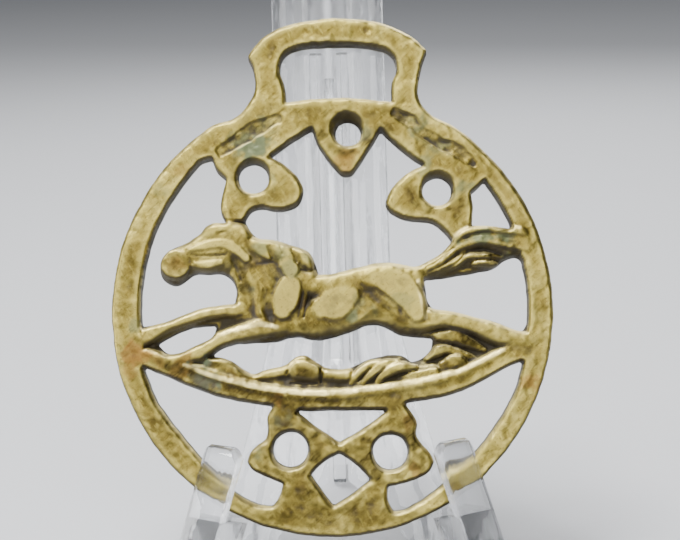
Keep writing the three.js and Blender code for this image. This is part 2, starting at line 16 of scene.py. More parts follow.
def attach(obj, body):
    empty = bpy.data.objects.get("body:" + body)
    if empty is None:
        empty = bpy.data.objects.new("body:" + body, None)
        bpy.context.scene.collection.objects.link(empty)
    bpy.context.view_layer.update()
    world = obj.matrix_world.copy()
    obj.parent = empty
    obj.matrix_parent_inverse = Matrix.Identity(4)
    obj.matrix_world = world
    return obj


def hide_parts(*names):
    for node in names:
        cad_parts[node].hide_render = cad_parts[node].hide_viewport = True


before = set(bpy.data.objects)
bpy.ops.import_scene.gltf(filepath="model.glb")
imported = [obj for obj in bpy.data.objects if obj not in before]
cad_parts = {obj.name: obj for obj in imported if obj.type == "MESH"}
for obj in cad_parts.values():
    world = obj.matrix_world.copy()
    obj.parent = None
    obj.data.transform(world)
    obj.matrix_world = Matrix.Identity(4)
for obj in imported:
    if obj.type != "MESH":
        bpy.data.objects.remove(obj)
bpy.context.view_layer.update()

# ---- Sizes of the casting, in mm ----
LEAN = math.radians(22)       # how far the brass leans back
TURN = math.radians(-1.5)     # how far it sits turned in the easel
CENTRE_UP = 46.0              # height of the disc's centre over the table
RIM_CENTRE = (0.35, 0.6)      # the rim's inner edge is an oval round this point
RIM_INSIDE = (32.85, 34.6)
FACE = 3.1                    # height of the flat frame over the back
FLOOR = 1.5                   # height of the sunk ground behind the horse
FILED = 3.88                  # height at which the figure's high places are filed flat
ROUND_IN = (0.28, 0.72)       # how far in the rounding of a top edge reaches, facing down and facing up
ROUND_DOWN = 0.95             # how far down the wall it reaches
WALL_LEAN = 0.14              # how far the rest of a wall leans in
WALL_RINGS = (0.62, 0.28, 0)  # heights of the wall's rings, as shares of its top edge's
OUTLINE_IN = 0.07             # how far inside the solid's own outline this one lies
OUTLINE_STEP = 0.3            # spacing of the points along the smoothed outline
CORNER = math.radians(50)     # a turn of the outline that is kept sharp
LOWEST_TOP = 0.3              # the casting is nowhere thinner than this
BACK_SHADE = 0.35             # how dark the flat back is, where the walls are 1
MOULDED_EDGE = 0.35           # width of the plastic's rounded edges

# ---- The relief's grid, in mm over the brass's plane ----
CELL = 0.21
GRID_X, GRID_Y = (-39, 39), (-40, 52.5)
OUTLINE_REACH = 3.0           # distances from the outline are measured up to here
SEED = 7

# ---- How the ridges are shaped and joined ----
RIDGE_FOOT = 0.6              # height of a ridge at its edge
RIDGE_SHOULDER = 0.45         # power of the fall to that edge
ROUND_BACK, FLAT_BACK = 2.5, 4    # powers of the distance across: round backs, and flatter ones
FIGURE_BLEND, GROUND_BLEND = 0.22, 0.12
FILED_BLEND = 0.12

# ---- Noise, as layers of (size of its bumps in mm, strength) ----
OUTLINE_WANDER = [(2.5, 0.035), (1.1, 0.02)]
ROUGH_CASTING = [(5, 0.05), (1.8, 0.05), (0.8, 0.035)]
POCKET_NOISE = [(1.6, 0.4), (0.7, 0.15)]
STROKE_NOISE = [(1.2, 0.35), (0.6, 0.2)]
STAIN_NOISE = [(1.8, 0.35), (0.7, 0.2)]

# ---- The sunk ground lies inside the rim, under this line and over the bar's centre line ----
GROUND_TOP = [(-34, 15.1), (-5, 15.1), (9, 13.5), (19, 12.1), (20.6, 12.2), (22.2, 12.8), (24, 14.4),
              (28, 14.9), (34, 14.5)]
GROUND_OVER_BAR = 0.45        # how far over the bar's centre line the ground starts

# ---- The relief: ridges with a rounded back, as (x, y, half width, height) ----
BAR = [(-31.5, -7.5, 1.2, 3.15), (-22, -10.8, 1.6, 3.3), (-11, -13.9, 1.7, 3.35), (-2, -14.8, 1.7, 3.35),
       (8, -13.8, 1.7, 3.35), (20, -11.5, 1.6, 3.3), (28, -7.8, 1.3, 3.2), (32, -5, 1, 3.1)]
HORSE = {
    "head": [(-26.6, 7.9, 2.9, 2.9), (-23.5, 9, 3.2, 3.5), (-20.5, 10.2, 4.2, 3.65),
             (-17.2, 10.8, 4.6, 3.65)],
    "cheek": [(-24.4, 9.9, 0.7, 3.6), (-21.6, 10.7, 1.1, 4.2), (-18.9, 11.1, 1.15, 4.3),
              (-16.7, 10.3, 1.4, 4.3), (-14.6, 8.5, 1.2, 4)],
    "jaw": [(-23.4, 7.5, 1.1, 3.6), (-21.2, 7.4, 1.3, 4), (-19, 7.9, 1, 3.7)],
    "forehead": [(-22.4, 11.9, 2.1, 3.4), (-19.4, 13.3, 2.6, 3.8), (-15.6, 12.6, 2.5, 3.8)],
    "throat": [(-15.6, 8, 2.6, 3), (-14.6, 4.5, 3, 2.8), (-13.8, 0.5, 3.8, 2.7), (-13, -2, 3, 2.7)],
    "neck": [(-13.6, 8.2, 2.4, 3.4), (-12.2, 5.8, 3, 3.65), (-11.2, 3, 2.9, 3.7),
             (-11.6, -0.4, 2.2, 3.4)],
    "crest": [(-13.6, 8.6, 1.8, 3.1), (-10, 6.8, 2.4, 3.3), (-6.6, 5.6, 2.2, 3.5)],
    "mane_base": [(-15.2, 11.4, 1.8, 3.5), (-12, 10.2, 2.4, 3.8), (-8.4, 9.4, 2.6, 3.8),
                  (-5, 8.4, 2.3, 3.7)],
    "mane_front": [(-13.4, 10.2, 1.1, 3.7), (-11.9, 9.5, 1.3, 3.95), (-10.9, 8.8, 1, 3.8)],
    "mane_middle": [(-10.2, 10.4, 1, 3.7), (-8.6, 10, 1.3, 3.95), (-7.2, 9.3, 1.1, 3.8)],
    "mane_lobe": [(-7.8, 7.6, 1.7, 4.4), (-7.1, 6.7, 1.9, 4.7)],
    "mane_back": [(-5.6, 9.6, 1, 3.7), (-4.5, 8.5, 1.3, 3.95), (-3.9, 7.2, 0.9, 3.75)],
    "back": [(-5.6, 5, 2.4, 3.6), (-1, 4, 3, 3.8), (4, 4.8, 3, 3.8), (10, 5.4, 3.1, 3.9),
             (14, 5.2, 2.6, 3.8)],
    "shoulder": [(-7.2, 3.6, 2.8, 4.6), (-7.9, 1.6, 2.9, 4.8), (-8.4, -0.4, 2.2, 4.3)],
    "girth": [(-4.6, 3.4, 1, 3.3), (-5, 0.6, 1.1, 3.1), (-5.4, -2.4, 1.1, 3)],
    "ribs": [(-1.6, 0, 3, 4.1), (0.6, 0.9, 3.9, 4.5), (3, 2.1, 3, 4.1)],
    "barrel": [(-9, -1.8, 3.4, 3), (-3, -1.6, 3.6, 3.4), (3.6, 0, 4, 3.6), (7.6, 0.6, 3.8, 3.6),
               (13, -1.8, 3.2, 3.2)],
    "haunch": [(7.4, 5.1, 2, 4.1), (10.6, 4.3, 3.4, 4.7), (12.9, 2, 3.1, 4.7), (14.4, -1, 2.2, 4.2)],
    "flank_fold": [(3.4, -2.4, 1, 3.4), (5.4, -0.8, 1.3, 3.7), (7.4, 0.8, 0.9, 3.4)],
    "far_foreleg": [(-14.5, 0, 1.6, 2.6), (-19, -0.2, 1.4, 3.1), (-23, -1.1, 1.3, 3.2),
                    (-28, -2.9, 1.2, 3.1), (-32.2, -4.9, 1.8, 3.2)],
    "near_foreleg": [(-8.6, -2.4, 2.2, 3.2), (-13.5, -3.5, 1.9, 3.5), (-19.2, -5.3, 1.6, 3.4),
                     (-23, -7.4, 1.8, 3.4), (-28, -9, 1.6, 3.2)],
    "near_hindleg": [(14.6, -1.8, 2.4, 3.6), (19, -1.6, 1.9, 3.5), (24, -2.7, 1.9, 3.4),
                     (28.5, -4.4, 2.1, 3.4), (33, -5.4, 2, 3.2)],
    "far_hindleg": [(17.6, -4.6, 0.9, 2.5), (20.6, -4.7, 1.5, 3), (23, -5.6, 1.2, 2.8),
                    (25.8, -6.9, 0.5, 2.2)],
    "hoof_ridge": [(16.2, -7.9, 1, 2.6), (17.9, -7.1, 1.2, 3.1), (20, -6.9, 0.9, 2.8),
                   (24.6, -8.7, 0.7, 2.4)],
    "far_hoof": [(18.8, -9.6, 1.1, 2.7), (20.9, -8.9, 1.5, 3.4), (22.9, -9.6, 0.9, 2.8)],
    "tail_root": [(14.2, 6.6, 1.5, 3.4), (18, 7.8, 2.1, 3.2), (22, 9.8, 2.9, 2.9), (28, 11, 2.7, 2.7),
                  (33, 11.6, 2.3, 2.7)],
    "tail_sheet": [(19.4, 9, 1.2, 3.1), (22.6, 11.2, 1.9, 3.3), (27, 12.2, 2, 3.4), (33, 11.8, 1.9, 3.2)],
    "tail_top": [(19.4, 10.2, 0.8, 3.2), (22.6, 12.9, 1, 3.7), (26.5, 13.8, 1.1, 3.8),
                 (32.6, 13.1, 1.3, 3.5)],
    "tail_middle": [(18.6, 8, 0.7, 3.3), (21.6, 10.4, 0.9, 3.5), (25.4, 11.5, 0.9, 3.6),
                    (29.4, 11, 1, 3.5), (33, 10.3, 1, 3.2)],
    "tail_lower": [(17.6, 6.7, 0.8, 3.1), (21, 7.8, 1, 3.3), (23, 8.9, 0.9, 3.6), (26.4, 9, 0.8, 3.4)],
    "tail_lock": [(24.2, 7.8, 0.8, 3.2), (26.4, 7.9, 0.8, 3.4), (28.2, 7.4, 0.6, 2.9)],
}
GROUND = {
    "bank": [(-24, -8.8, 1.4, 2.2), (-11, -12.4, 1.9, 2.4), (-2, -13.1, 2, 2.4), (8, -12.3, 1.9, 2.4),
             (21, -9.8, 1.5, 2.2)],
    "tuft": [(-20.6, -9.4, 1.6, 2.7), (-18, -9.6, 2.2, 2.9), (-15.6, -10.8, 2, 2.8),
             (-12.8, -12, 1.5, 2.6)],
    "tuft_top": [(-18.8, -8.5, 0.7, 2.9), (-16.6, -8.7, 0.9, 3.1), (-15, -9.8, 0.9, 3.1),
                 (-13.4, -10.4, 0.6, 2.8)],
    "pebbles": [(-12.6, -11.2, 1.5, 2.7), (-10, -10.7, 1.5, 3), (-7.6, -10.2, 1.6, 2.9)],
    "rock": [(-5.8, -10.2, 2.2, 3.5), (-3.4, -10.3, 2.4, 3.6)],
    "rock_top": [(-6.8, -9.1, 1, 3.2), (-4.6, -8.2, 1.2, 3.4), (-2.2, -9.2, 1, 3.2)],
    "stone": [(-0.6, -11, 1.7, 3.1), (2, -11, 1.8, 3.2)],
    "blade_left": [(3.2, -12.6, 0.5, 2.8), (4.4, -10.9, 0.9, 3.2), (6.2, -9.5, 0.9, 3.3),
                   (8, -8.9, 0.5, 3)],
    "blade_middle": [(5.2, -12.6, 0.5, 2.9), (6.6, -11, 1, 3.3), (8.8, -9.5, 1.1, 3.4),
                     (11, -8.8, 0.5, 3)],
    "blade_right": [(7.6, -12.5, 0.6, 3), (9, -11, 1.1, 3.5), (11.4, -9.9, 1.2, 3.6),
                    (14, -9.9, 0.6, 3.1)],
    "ledge": [(11.4, -11.9, 0.9, 2.7), (14, -11.2, 0.9, 3), (17.6, -10.6, 1, 2.9)],
}
MUZZLE = (-26.7, 7.6, 2.4, 3.4)   # x, y, radius and height of the flat disc at the nose

# ---- Grooves, as (x, y, half width, depth) ----
POCKETS = [[(-19, 27.2, 1.2, 0.35), (-15.7, 29.4, 1.5, 0.5), (-12.6, 31.3, 1.6, 0.45),
            (-9.6, 32.8, 1.2, 0.3)],
           [(11, 34, 1.1, 0.35), (13.4, 32.6, 1.3, 0.5), (15.4, 30.4, 1.0, 0.4), (18.4, 28.6, 1.3, 0.45),
            (21.4, 27.3, 1.3, 0.45), (24.2, 25, 0.8, 0.3)]]
GROOVES = {
    "face": [[(-24, 9.1, 0.25, 0.2), (-21.5, 9, 0.3, 0.25), (-18.4, 9.2, 0.3, 0.25)],
             [(-19.1, 12.9, 0.35, 0.25), (-18.1, 13.1, 0.3, 0.2)],
             [(-17, 8.6, 0.7, 0.4), (-15.6, 5, 0.8, 0.4)]],
    "hollows": [[(-11.4, 3, 0.8, 0.3), (-11.3, 0.4, 1.3, 0.5), (-10.4, -2.2, 0.8, 0.3)],
                [(5, 4.1, 0.6, 0.15), (7.4, 1.7, 1, 0.2), (10.4, -0.4, 0.7, 0.15)],
                [(-10.2, 8, 0.4, 0.15), (-12.8, 7.6, 0.4, 0.15)]],
    "tail": [[(22, 12, 0.3, 0.15), (25, 12.7, 0.3, 0.2), (28, 12.6, 0.3, 0.2), (31, 12.1, 0.3, 0.15)],
             [(23, 10, 0.35, 0.3), (26, 10.2, 0.5, 0.7), (28.8, 9.4, 0.5, 0.6)],
             [(16.3, 6.3, 0.22, 0.3), (18.6, 7.3, 0.25, 0.35), (21.6, 9.4, 0.25, 0.35)],
             [(16, 7.1, 0.22, 0.3), (18, 8.2, 0.25, 0.35), (20.6, 10.4, 0.25, 0.35)],
             [(18.4, 6.6, 0.22, 0.3), (20.6, 7.4, 0.25, 0.35), (23, 9.6, 0.25, 0.35)],
             [(24.6, 8.4, 0.25, 0.35), (27, 8.3, 0.25, 0.35)]],
    "girth": [[(-4, 2.4, 0.25, 0.3), (-4.8, -1.4, 0.3, 0.4)],
              [(-4.9, 3, 0.22, 0.2), (-5.8, -1.4, 0.22, 0.25)]],
    "mane": [[(-11, 10.6, 0.25, 0.4), (-10.2, 8.6, 0.3, 0.4)],
             [(-6.9, 10.2, 0.25, 0.4), (-6, 8, 0.3, 0.4)],
             [(-8.9, 11, 0.2, 0.25), (-8.5, 9.2, 0.2, 0.25)]],
    "blades": [[(4.4, -12.3, 0.25, 0.4), (6.4, -10.2, 0.25, 0.4)],
               [(6.6, -12.3, 0.25, 0.4), (8.9, -10, 0.25, 0.4)],
               [(8.8, -12, 0.25, 0.4), (12.6, -10.9, 0.3, 0.4)]],
    "rock_edge": [[(-7.8, -11, 0.3, 0.45), (-6.6, -9.2, 0.3, 0.4), (-4.6, -8.7, 0.3, 0.4),
                   (-2.5, -9.5, 0.3, 0.45)]],
    "stones": [[(-1.8, -10, 0.25, 0.5), (-1.9, -12.4, 0.3, 0.5)],
               [(-2.6, -12.6, 0.3, 0.4), (-7, -12.6, 0.3, 0.4)]],
}

# ---- The holes' wide mouths, as (x, y, radius at the face, fall to each mm inwards) ----
MOUTHS = [(2.5, 31.25, 3.15, 1.5), (-13.6, 23.0, 3.05, 1.5), (18.15, 20.85, 3.15, 1.4),
          (-7, -23.9, 3.4, 1.4), (9.75, -24.25, 3.35, 1.4)]

# ---- Stains, as (x, y, radius, strength) ----
VERDIGRIS = [(-15.5, 29.6, 1.8, 0.7), (-11.8, 31.8, 1.6, 0.5), (14.5, 31.6, 1.8, 0.6),
             (19, 28.4, 1.8, 0.5), (4.5, 1.4, 1.8, 0.35), (7, -0.2, 1.8, 0.35), (-21.8, -11.6, 2.6, 1),
             (-13.6, 27.6, 2.4, 0.9), (-10.5, 21.5, 1.6, 0.5), (-9, -19, 1.6, 0.6),
             (-12.5, -25, 1.3, 0.6), (3, -1.2, 1.2, 0.7), (25, 12.2, 2.2, 0.8), (29, 11.6, 2.2, 0.8),
             (21.5, 21, 1.6, 0.6), (16, 24.5, 1.8, 0.5), (4.5, 30, 1.6, 0.6), (-33.4, -3, 1.2, 0.5),
             (-7.4, 6.8, 1.6, 0.45), (17, -9, 1.6, 0.4), (-30, 20, 1.5, 0.3), (12, 1.5, 1.2, 0.3),
             (-4, 9, 1.4, 0.5), (-12.4, 10.6, 1.4, 0.5), (-9, 9.4, 1.4, 0.45), (-15, 3.4, 1.2, 0.5)]
COPPER_RED = [(-33, -7.5, 2.2, 0.6), (-34.5, -11, 1.4, 0.4), (-9, -15.3, 1.2, 0.6), (2, 26.2, 1.9, 0.45),
              (33, -13, 2, 0.45), (14, -27.5, 1.6, 0.5), (13.5, -19, 1.6, 0.45), (-26, 24, 1.3, 0.2),
              (-14.5, -22, 1, 0.4), (20, -32, 2.5, 0.3), (-16, -31, 1.5, 0.2), (31, -9.5, 1.4, 0.35),
              (-25.6, -9.9, 2.4, 0.5), (-29, -9.2, 1.8, 0.45), (-5, 1, 1, 0.3), (-26.8, 7.6, 1.6, 0.3)]

# ---- Painted highlights along edges and ridges that face up, as lines of (x, y, half width, strength) ----
HIGHLIGHT_LINES = [[(-25, -9.6, 0.3, 0.5), (-19.5, -11.6, 0.4, 0.8), (-11, -13.5, 0.45, 1), (-2, -14.3, 0.45, 1),
           (8, -13.3, 0.45, 1), (20, -11, 0.45, 0.9), (29, -7, 0.35, 0.6)],
          [(-22.6, -6.3, 0.4, 0.6), (-18, -4, 0.45, 0.9), (-12, -2.7, 0.45, 0.9),
           (-9.4, -3.2, 0.35, 0.6)],
          [(16, -0.3, 0.4, 0.7), (21, -0.7, 0.45, 0.9), (27, -2.5, 0.45, 0.8), (31.6, -4.2, 0.4, 0.6)],
          [(-27, -1.9, 0.35, 0.7), (-21, 0, 0.4, 0.9), (-16, 0.9, 0.35, 0.7)],
          [(-7.4, -10, 0.35, 0.7), (-6, -8.5, 0.4, 1), (-4.2, -8.1, 0.4, 1), (-2.2, -9.3, 0.35, 0.8)],
          [(-12.6, -11, 0.3, 0.6), (-8.6, -10, 0.35, 0.8)],
          [(-1, -10.6, 0.3, 0.7), (2.4, -10.8, 0.35, 0.8)],
          [(3.4, -11.2, 0.3, 0.7), (6, -9.2, 0.35, 0.9), (9.6, -8.6, 0.35, 0.9)],
          [(7.8, -10.6, 0.3, 0.7), (10.4, -9.4, 0.35, 0.9), (13, -9.2, 0.3, 0.7)],
          [(20, 11.8, 0.35, 0.7), (23.4, 14, 0.4, 1), (28, 14.4, 0.4, 0.9), (32, 13.9, 0.35, 0.7)],
          [(14.6, 4.6, 0.4, 0.9), (15.4, 0.6, 0.4, 1), (15.8, -1.6, 0.35, 0.8)]]

# ---- Dark strokes, as lines of (x, y, half width, strength): grime in the low places, and painted shade under the bar, along shaded sides of the figure and broadly over the lower half ----
GRIME_AND_SHADE_LINES = [[(-29, -9.6, 2, 0.6), (-20, -12.9, 2, 0.85), (-9, -15.8, 1.8, 0.8), (2, -16.8, 1.8, 0.75),
          (14, -14.8, 1.6, 0.5)],
         # wide strokes of painted shade, darkening the lower motif and the bottom of the disc
         [(-9, -23, 7, 0.75), (2, -24, 7, 0.7), (12, -24, 6.5, 0.75)],
         [(-7, -31, 5, 0.5), (8, -32, 5, 0.45)],
         [(-4, 32.5, 3, 0.35), (3, 30, 4, 0.5), (9, 32.5, 3, 0.4)],
         [(-16.8, 8.6, 1, 0.7), (-15.8, 5.6, 1.1, 0.85), (-14.4, 2.2, 1.1, 0.8),
          (-13.2, -0.6, 0.8, 0.55)],
         [(-10.8, 2.8, 0.5, 0.5), (-10.8, 0.2, 0.9, 0.8), (-9.8, -2.6, 0.7, 0.7)],
         [(-4.6, 3.6, 0.8, 0.5), (-5.2, -0.6, 1, 0.7), (-4.8, -3.2, 1, 0.7)],
         [(4.6, 4.3, 0.7, 0.4), (7, 1.8, 1, 0.55), (10.6, -0.6, 0.9, 0.5), (12, -2.4, 0.8, 0.4)],
         [(-10, -4.4, 1, 0.8), (-4, -5, 1.1, 0.8), (2, -4.8, 1.1, 0.8), (7, -3, 0.9, 0.7),
          (14, -4.2, 1, 0.8)],
         [(-10.6, 10.8, 0.5, 0.7), (-9.8, 8.6, 0.6, 0.8)],
         [(-6.2, 10, 0.5, 0.7), (-5.6, 7.6, 0.6, 0.8)],
         [(-13.6, 7.2, 0.6, 0.5), (-10.2, 7.8, 0.6, 0.5), (-8.6, 5.6, 0.5, 0.5)],
         [(-14.4, 11.6, 0.7, 0.6), (-13, 8.4, 0.7, 0.6)],
         [(-26.8, 7.4, 3.2, 0.62), (-26.4, 7.4, 3.2, 0.62)],
         [(-23.6, 8.9, 0.4, 0.4), (-18.2, 9.2, 0.4, 0.4)],
         [(-19.6, 12.9, 0.4, 0.5), (-17.8, 13, 0.4, 0.5)],
         [(-20, -9.8, 1.4, 0.7), (-15, -11.2, 1.2, 0.8)],
         [(-24, -12, 1.2, 0.7), (-19, -13.6, 1.2, 0.6)],
         [(17, 6.8, 1.2, 0.5), (22, 9.6, 1.6, 0.6), (27, 9.8, 1, 0.8), (31, 10.2, 0.8, 0.6)],
         [(18.6, -4.4, 1.6, 0.7), (23, -5.6, 1.8, 0.8), (28, -7, 1, 0.8)],
         [(16.4, -9.6, 1.2, 0.7), (24, -9.4, 1.2, 0.7)],
         [(20, -3.3, 0.5, 1), (24.4, -4.8, 0.7, 1), (27.4, -6.4, 0.7, 1)],
         [(16.6, -6.4, 0.5, 0.9), (20, -6, 0.5, 0.9), (24.6, -7.4, 0.6, 1)],
         [(19, -8, 0.4, 0.9), (22.6, -8.4, 0.4, 0.9)],
         [(-5.6, -11, 1.2, 0.6), (-3.4, -11, 1.2, 0.6)],
         [(-0.8, -12, 0.8, 0.55), (2.2, -12, 0.8, 0.55)],
         [(-12.6, -12.2, 0.6, 0.9), (-7.4, -12, 0.6, 0.9)],
         [(-1.9, -10.2, 0.5, 0.8), (-1.9, -12.8, 0.5, 0.8)],
         [(-17.4, 34.6, 1.6, 0.4), (-14.6, 31.5, 1.6, 0.4)],
         [(-6, 45.8, 1.2, 0.6), (7, 45.8, 1.2, 0.6)],
         [(-14, -34.6, 2.2, 0.4), (0, -36.8, 2.4, 0.5), (13, -35, 2.2, 0.35)],
         [(-31, -14, 1.8, 0.3), (-27, -22, 1.8, 0.35)],
         [(-29, -9.2, 1.6, 0.7), (-20, -12.4, 1.8, 1.1), (-9, -15.2, 1.4, 0.9), (0, -16.2, 1.3, 0.8)],
         [(8, -15.6, 1, 0.4), (20, -13.2, 1, 0.3)],
         [(-12, -18, 1.8, 0.8), (-14, -21.5, 1.6, 0.8)],
         [(-11, -28.6, 1.8, 0.7), (-4, -21.6, 1.8, 0.7), (4, -20.6, 1.6, 0.7)],
         [(12.6, -19, 1.6, 0.6), (15.4, -24, 1.6, 0.65)],
         [(-8, -31.5, 1.8, 0.5), (8, -34, 2, 0.5)],
         [(2.2, 34.4, 1.4, 0.6), (-1.6, 30, 1.3, 0.7), (2.4, 27.4, 1.4, 0.75), (6.6, 30.2, 1.3, 0.7)],
         [(-17.4, 25.6, 1.2, 0.65), (-14.2, 19, 1.4, 0.6), (-10, 19.6, 1.4, 0.5)],
         [(13.6, 20.2, 1.3, 0.65), (16, 17.6, 1.3, 0.65), (21.6, 18.2, 1.4, 0.7)]]


# ---- Small tools ----
def spline(points, step):
    """A smooth line through rows of numbers, one row every step mm of its first two."""
    p = np.asarray(points, float)
    padded = np.vstack([2 * p[0] - p[1], p, 2 * p[-1] - p[-2]])
    rows = []
    for i in range(1, len(padded) - 2):
        a, b, c, d = padded[i - 1:i + 3]
        count = max(2, math.ceil(np.hypot(*(c - b)[:2]) / step))
        for t in np.arange(count) / count:
            rows.append(0.5 * (2 * b + (c - a) * t + (2 * a - 5 * b + 4 * c - d) * t ** 2
                               + (3 * b - a - 3 * c + d) * t ** 3))
    rows.append(p[-1])
    return np.array(rows)


def smooth_max(a, b, k):
    """The larger of two, with a soft change over about k."""
    return 0.5 * (a + b + np.sqrt((a - b) ** 2 + k * k))


def smooth_min(a, b, k):
    """The smaller of two, with a soft change over about k."""
    return 0.5 * (a + b - np.sqrt((a - b) ** 2 + k * k))


def smooth_step(low, high, value):
    """0 at low, 1 at high and smooth between; low may be the larger."""
    t = np.clip((value - low) / (high - low), 0, 1)
    return t * t * (3 - 2 * t)


class Grid:
    """The rectangle over the brass, as a grid of points CELL apart."""

    def __init__(self):
        self.xs = np.arange(*GRID_X, CELL)
        self.ys = np.arange(*GRID_Y, CELL)
        self.x, self.y = np.meshgrid(self.xs, self.ys)
        self.random = np.random.default_rng(SEED)

    def near(self, points, reach):
        """The part of the grid within reach of some points."""
        low, high = np.min(points, axis=0)[:2] - reach, np.max(points, axis=0)[:2] + reach
        cols = slice(*np.searchsorted(self.xs, (low[0], high[0])))
        rows = slice(*np.searchsorted(self.ys, (low[1], high[1])))
        return rows, cols

    def blur(self, field, sigma):
        """The field averaged over a soft disc of sigma mm."""
        fy = np.fft.fftfreq(field.shape[0], CELL)[:, None]
        fx = np.fft.rfftfreq(field.shape[1], CELL)[None, :]
        soft = np.exp(-2 * (math.pi * sigma) ** 2 * (fx ** 2 + fy ** 2))
        return np.fft.irfft2(np.fft.rfft2(field) * soft, s=field.shape)

    def noise(self, size):
        """Smooth noise with bumps about size mm across, from about -2 to 2."""
        field = self.blur(self.random.standard_normal(self.x.shape), size / 2.5)
        return field / field.std()

    def layered_noise(self, layers):
        """Noise of several sizes added up."""
        return sum(strength * self.noise(size) for size, strength in layers)

    def sample(self, field, x, y):
        """The field at any points, between its grid points."""
        u = np.clip((x - self.xs[0]) / CELL, 0, len(self.xs) - 1.001)
        v = np.clip((y - self.ys[0]) / CELL, 0, len(self.ys) - 1.001)
        i, j = u.astype(int), v.astype(int)
        fu, fv = u - i, v - j
        return ((field[j, i] * (1 - fu) + field[j, i + 1] * fu) * (1 - fv)
                + (field[j + 1, i] * (1 - fu) + field[j + 1, i + 1] * fu) * fv)


def segment_distance(x, y, a, b):
    """Distance from points to a segment, and how far along it the nearest place lies, 0 to 1."""
    along = b[:2] - a[:2]
    t = np.clip(((x - a[0]) * along[0] + (y - a[1]) * along[1]) / max(along @ along, 1e-12), 0, 1)
    return np.hypot(x - a[0] - t * along[0], y - a[1] - t * along[1]), t


def stroke(grid, stations):
    """For grid points near a line: how far across it they lie, 1 at its edge, and its fourth value there."""
    line = spline(stations, 0.7)
    rows, cols = grid.near(line, max(s[2] for s in stations) + 0.3)
    x, y = grid.x[rows, cols], grid.y[rows, cols]
    across = np.full(x.shape, np.inf)
    value = np.zeros(x.shape)
    for a, b in zip(line[:-1], line[1:]):
        distance, t = segment_distance(x, y, a, b)
        ratio = distance / (a[2] + t * (b[2] - a[2]))
        nearer = ratio < across
        across[nearer] = ratio[nearer]
        value[nearer] = (a[3] + t * (b[3] - a[3]))[nearer]
    return rows, cols, across, value


# ---- The brass's own plane ----
class Plate:
    """Where the brass lies in the frame: its origin is the disc's centre on its back."""

    def __init__(self, node):
        self.node = node
        across = np.array([1.0, 0, 0])
        up = np.array([0, math.sin(LEAN), math.cos(LEAN)])
        self.front = np.array([0, -math.cos(LEAN), math.sin(LEAN)])
        self.right = math.cos(TURN) * across + math.sin(TURN) * up
        self.up = math.cos(TURN) * up - math.sin(TURN) * across
        corners = self.corners()
        low, high = corners.min(axis=0), corners.max(axis=0)
        back = (corners @ self.front).min()
        away = (CENTRE_UP * math.sin(LEAN) - back) / math.cos(LEAN)
        self.origin = np.array([(low[0] + high[0]) / 2, away, CENTRE_UP])

    def corners(self):
        """The solid's vertices in mm, in the frame."""
        mesh = self.node.data
        out = np.empty(len(mesh.vertices) * 3)
        mesh.vertices.foreach_get("co", out)
        return out.reshape(-1, 3) * 1000

    def to_frame(self, points):
        """Points of the plate in mm, as points of the frame in metres."""
        p = np.asarray(points, float)
        axes = np.stack([self.right, self.up, self.front])
        return (self.origin + p @ axes) / 1000

    def outline_loops(self):
        """The closed outlines of the solid's flat back, in plate millimetres."""
        local = (self.corners() - self.origin) @ np.stack([self.right, self.up, self.front]).T
        numbers = {}
        same = [numbers.setdefault(tuple(row), len(numbers)) for row in np.round(local, 2)]
        place = {n: local[i] for i, n in enumerate(same)}
        edges = set()
        for face in self.node.data.polygons:
            if max(local[v][2] for v in face.vertices) > 0.05:
                continue
            ring = [same[v] for v in face.vertices]
            for a, b in zip(ring, ring[1:] + ring[:1]):
                edges.symmetric_difference_update([tuple(sorted((a, b)))])
        follow = {}
        for a, b in edges:
            follow.setdefault(a, []).append(b)
            follow.setdefault(b, []).append(a)
        loops = []
        while follow:
            here = next(iter(follow))
            loop = []
            while follow.get(here):
                loop.append(here)
                after = follow[here].pop()
                follow[after].remove(here)
                here = after
            follow = {k: v for k, v in follow.items() if v}
            if len(loop) > 3:
                loops.append(np.array([place[n][:2] for n in loop]))
        return loops


def smoothed_loop(loop):
    """A closed outline rounded into curves, with its sharp corners kept."""
    kept = [loop[0]]
    for point in loop[1:]:
        if np.hypot(*(point - kept[-1])) > 0.45:
            kept.append(point)
    p = np.array(kept)
    before, after = p - np.roll(p, 1, axis=0), np.roll(p, -1, axis=0) - p
    turn = np.abs(np.angle((after[:, 0] + 1j * after[:, 1]) / (before[:, 0] + 1j * before[:, 1])))
    corners = np.flatnonzero(turn > CORNER)
    if len(corners) == 0:
        padded = np.vstack([p[-2:], p, p[:3]])
        line = spline(padded, OUTLINE_STEP)
        first = np.argmin(np.hypot(*(line - p[0]).T))
        last = first + np.argmin(np.hypot(*(line[first + 5:] - p[0]).T)) + 5
        return line[first:last]
    p = np.roll(p, -corners[0], axis=0)
    stops = [*(corners - corners[0]), len(p)]
    closed = np.vstack([p, p[:1]])
    return np.vstack([spline(closed[a:b + 1], OUTLINE_STEP)[:-1] for a, b in zip(stops[:-1], stops[1:])])


def signed_distance(grid, loops):
    """Distance from the outline, below zero on the metal, up to OUTLINE_REACH."""
    distance = np.full(grid.x.shape, OUTLINE_REACH)
    crossings = np.zeros((len(grid.ys), len(grid.xs) + 1), int)
    for loop in loops:
        for a, b in zip(loop, np.roll(loop, -1, axis=0)):
            rows, cols = grid.near([a, b], OUTLINE_REACH)
            d, _ = segment_distance(grid.x[rows, cols], grid.y[rows, cols], a, b)
            distance[rows, cols] = np.minimum(distance[rows, cols], d)
            low, high = (a, b) if a[1] < b[1] else (b, a)
            j0, j1 = np.searchsorted(grid.ys, (low[1], high[1]))
            for j in range(j0, j1):
                x = low[0] + (high[0] - low[0]) * (grid.ys[j] - low[1]) / (high[1] - low[1])
                crossings[j, np.searchsorted(grid.xs, x)] += 1
    inside = np.cumsum(crossings, axis=1)[:, :-1] % 2 == 1
    return np.where(inside, -distance, distance)


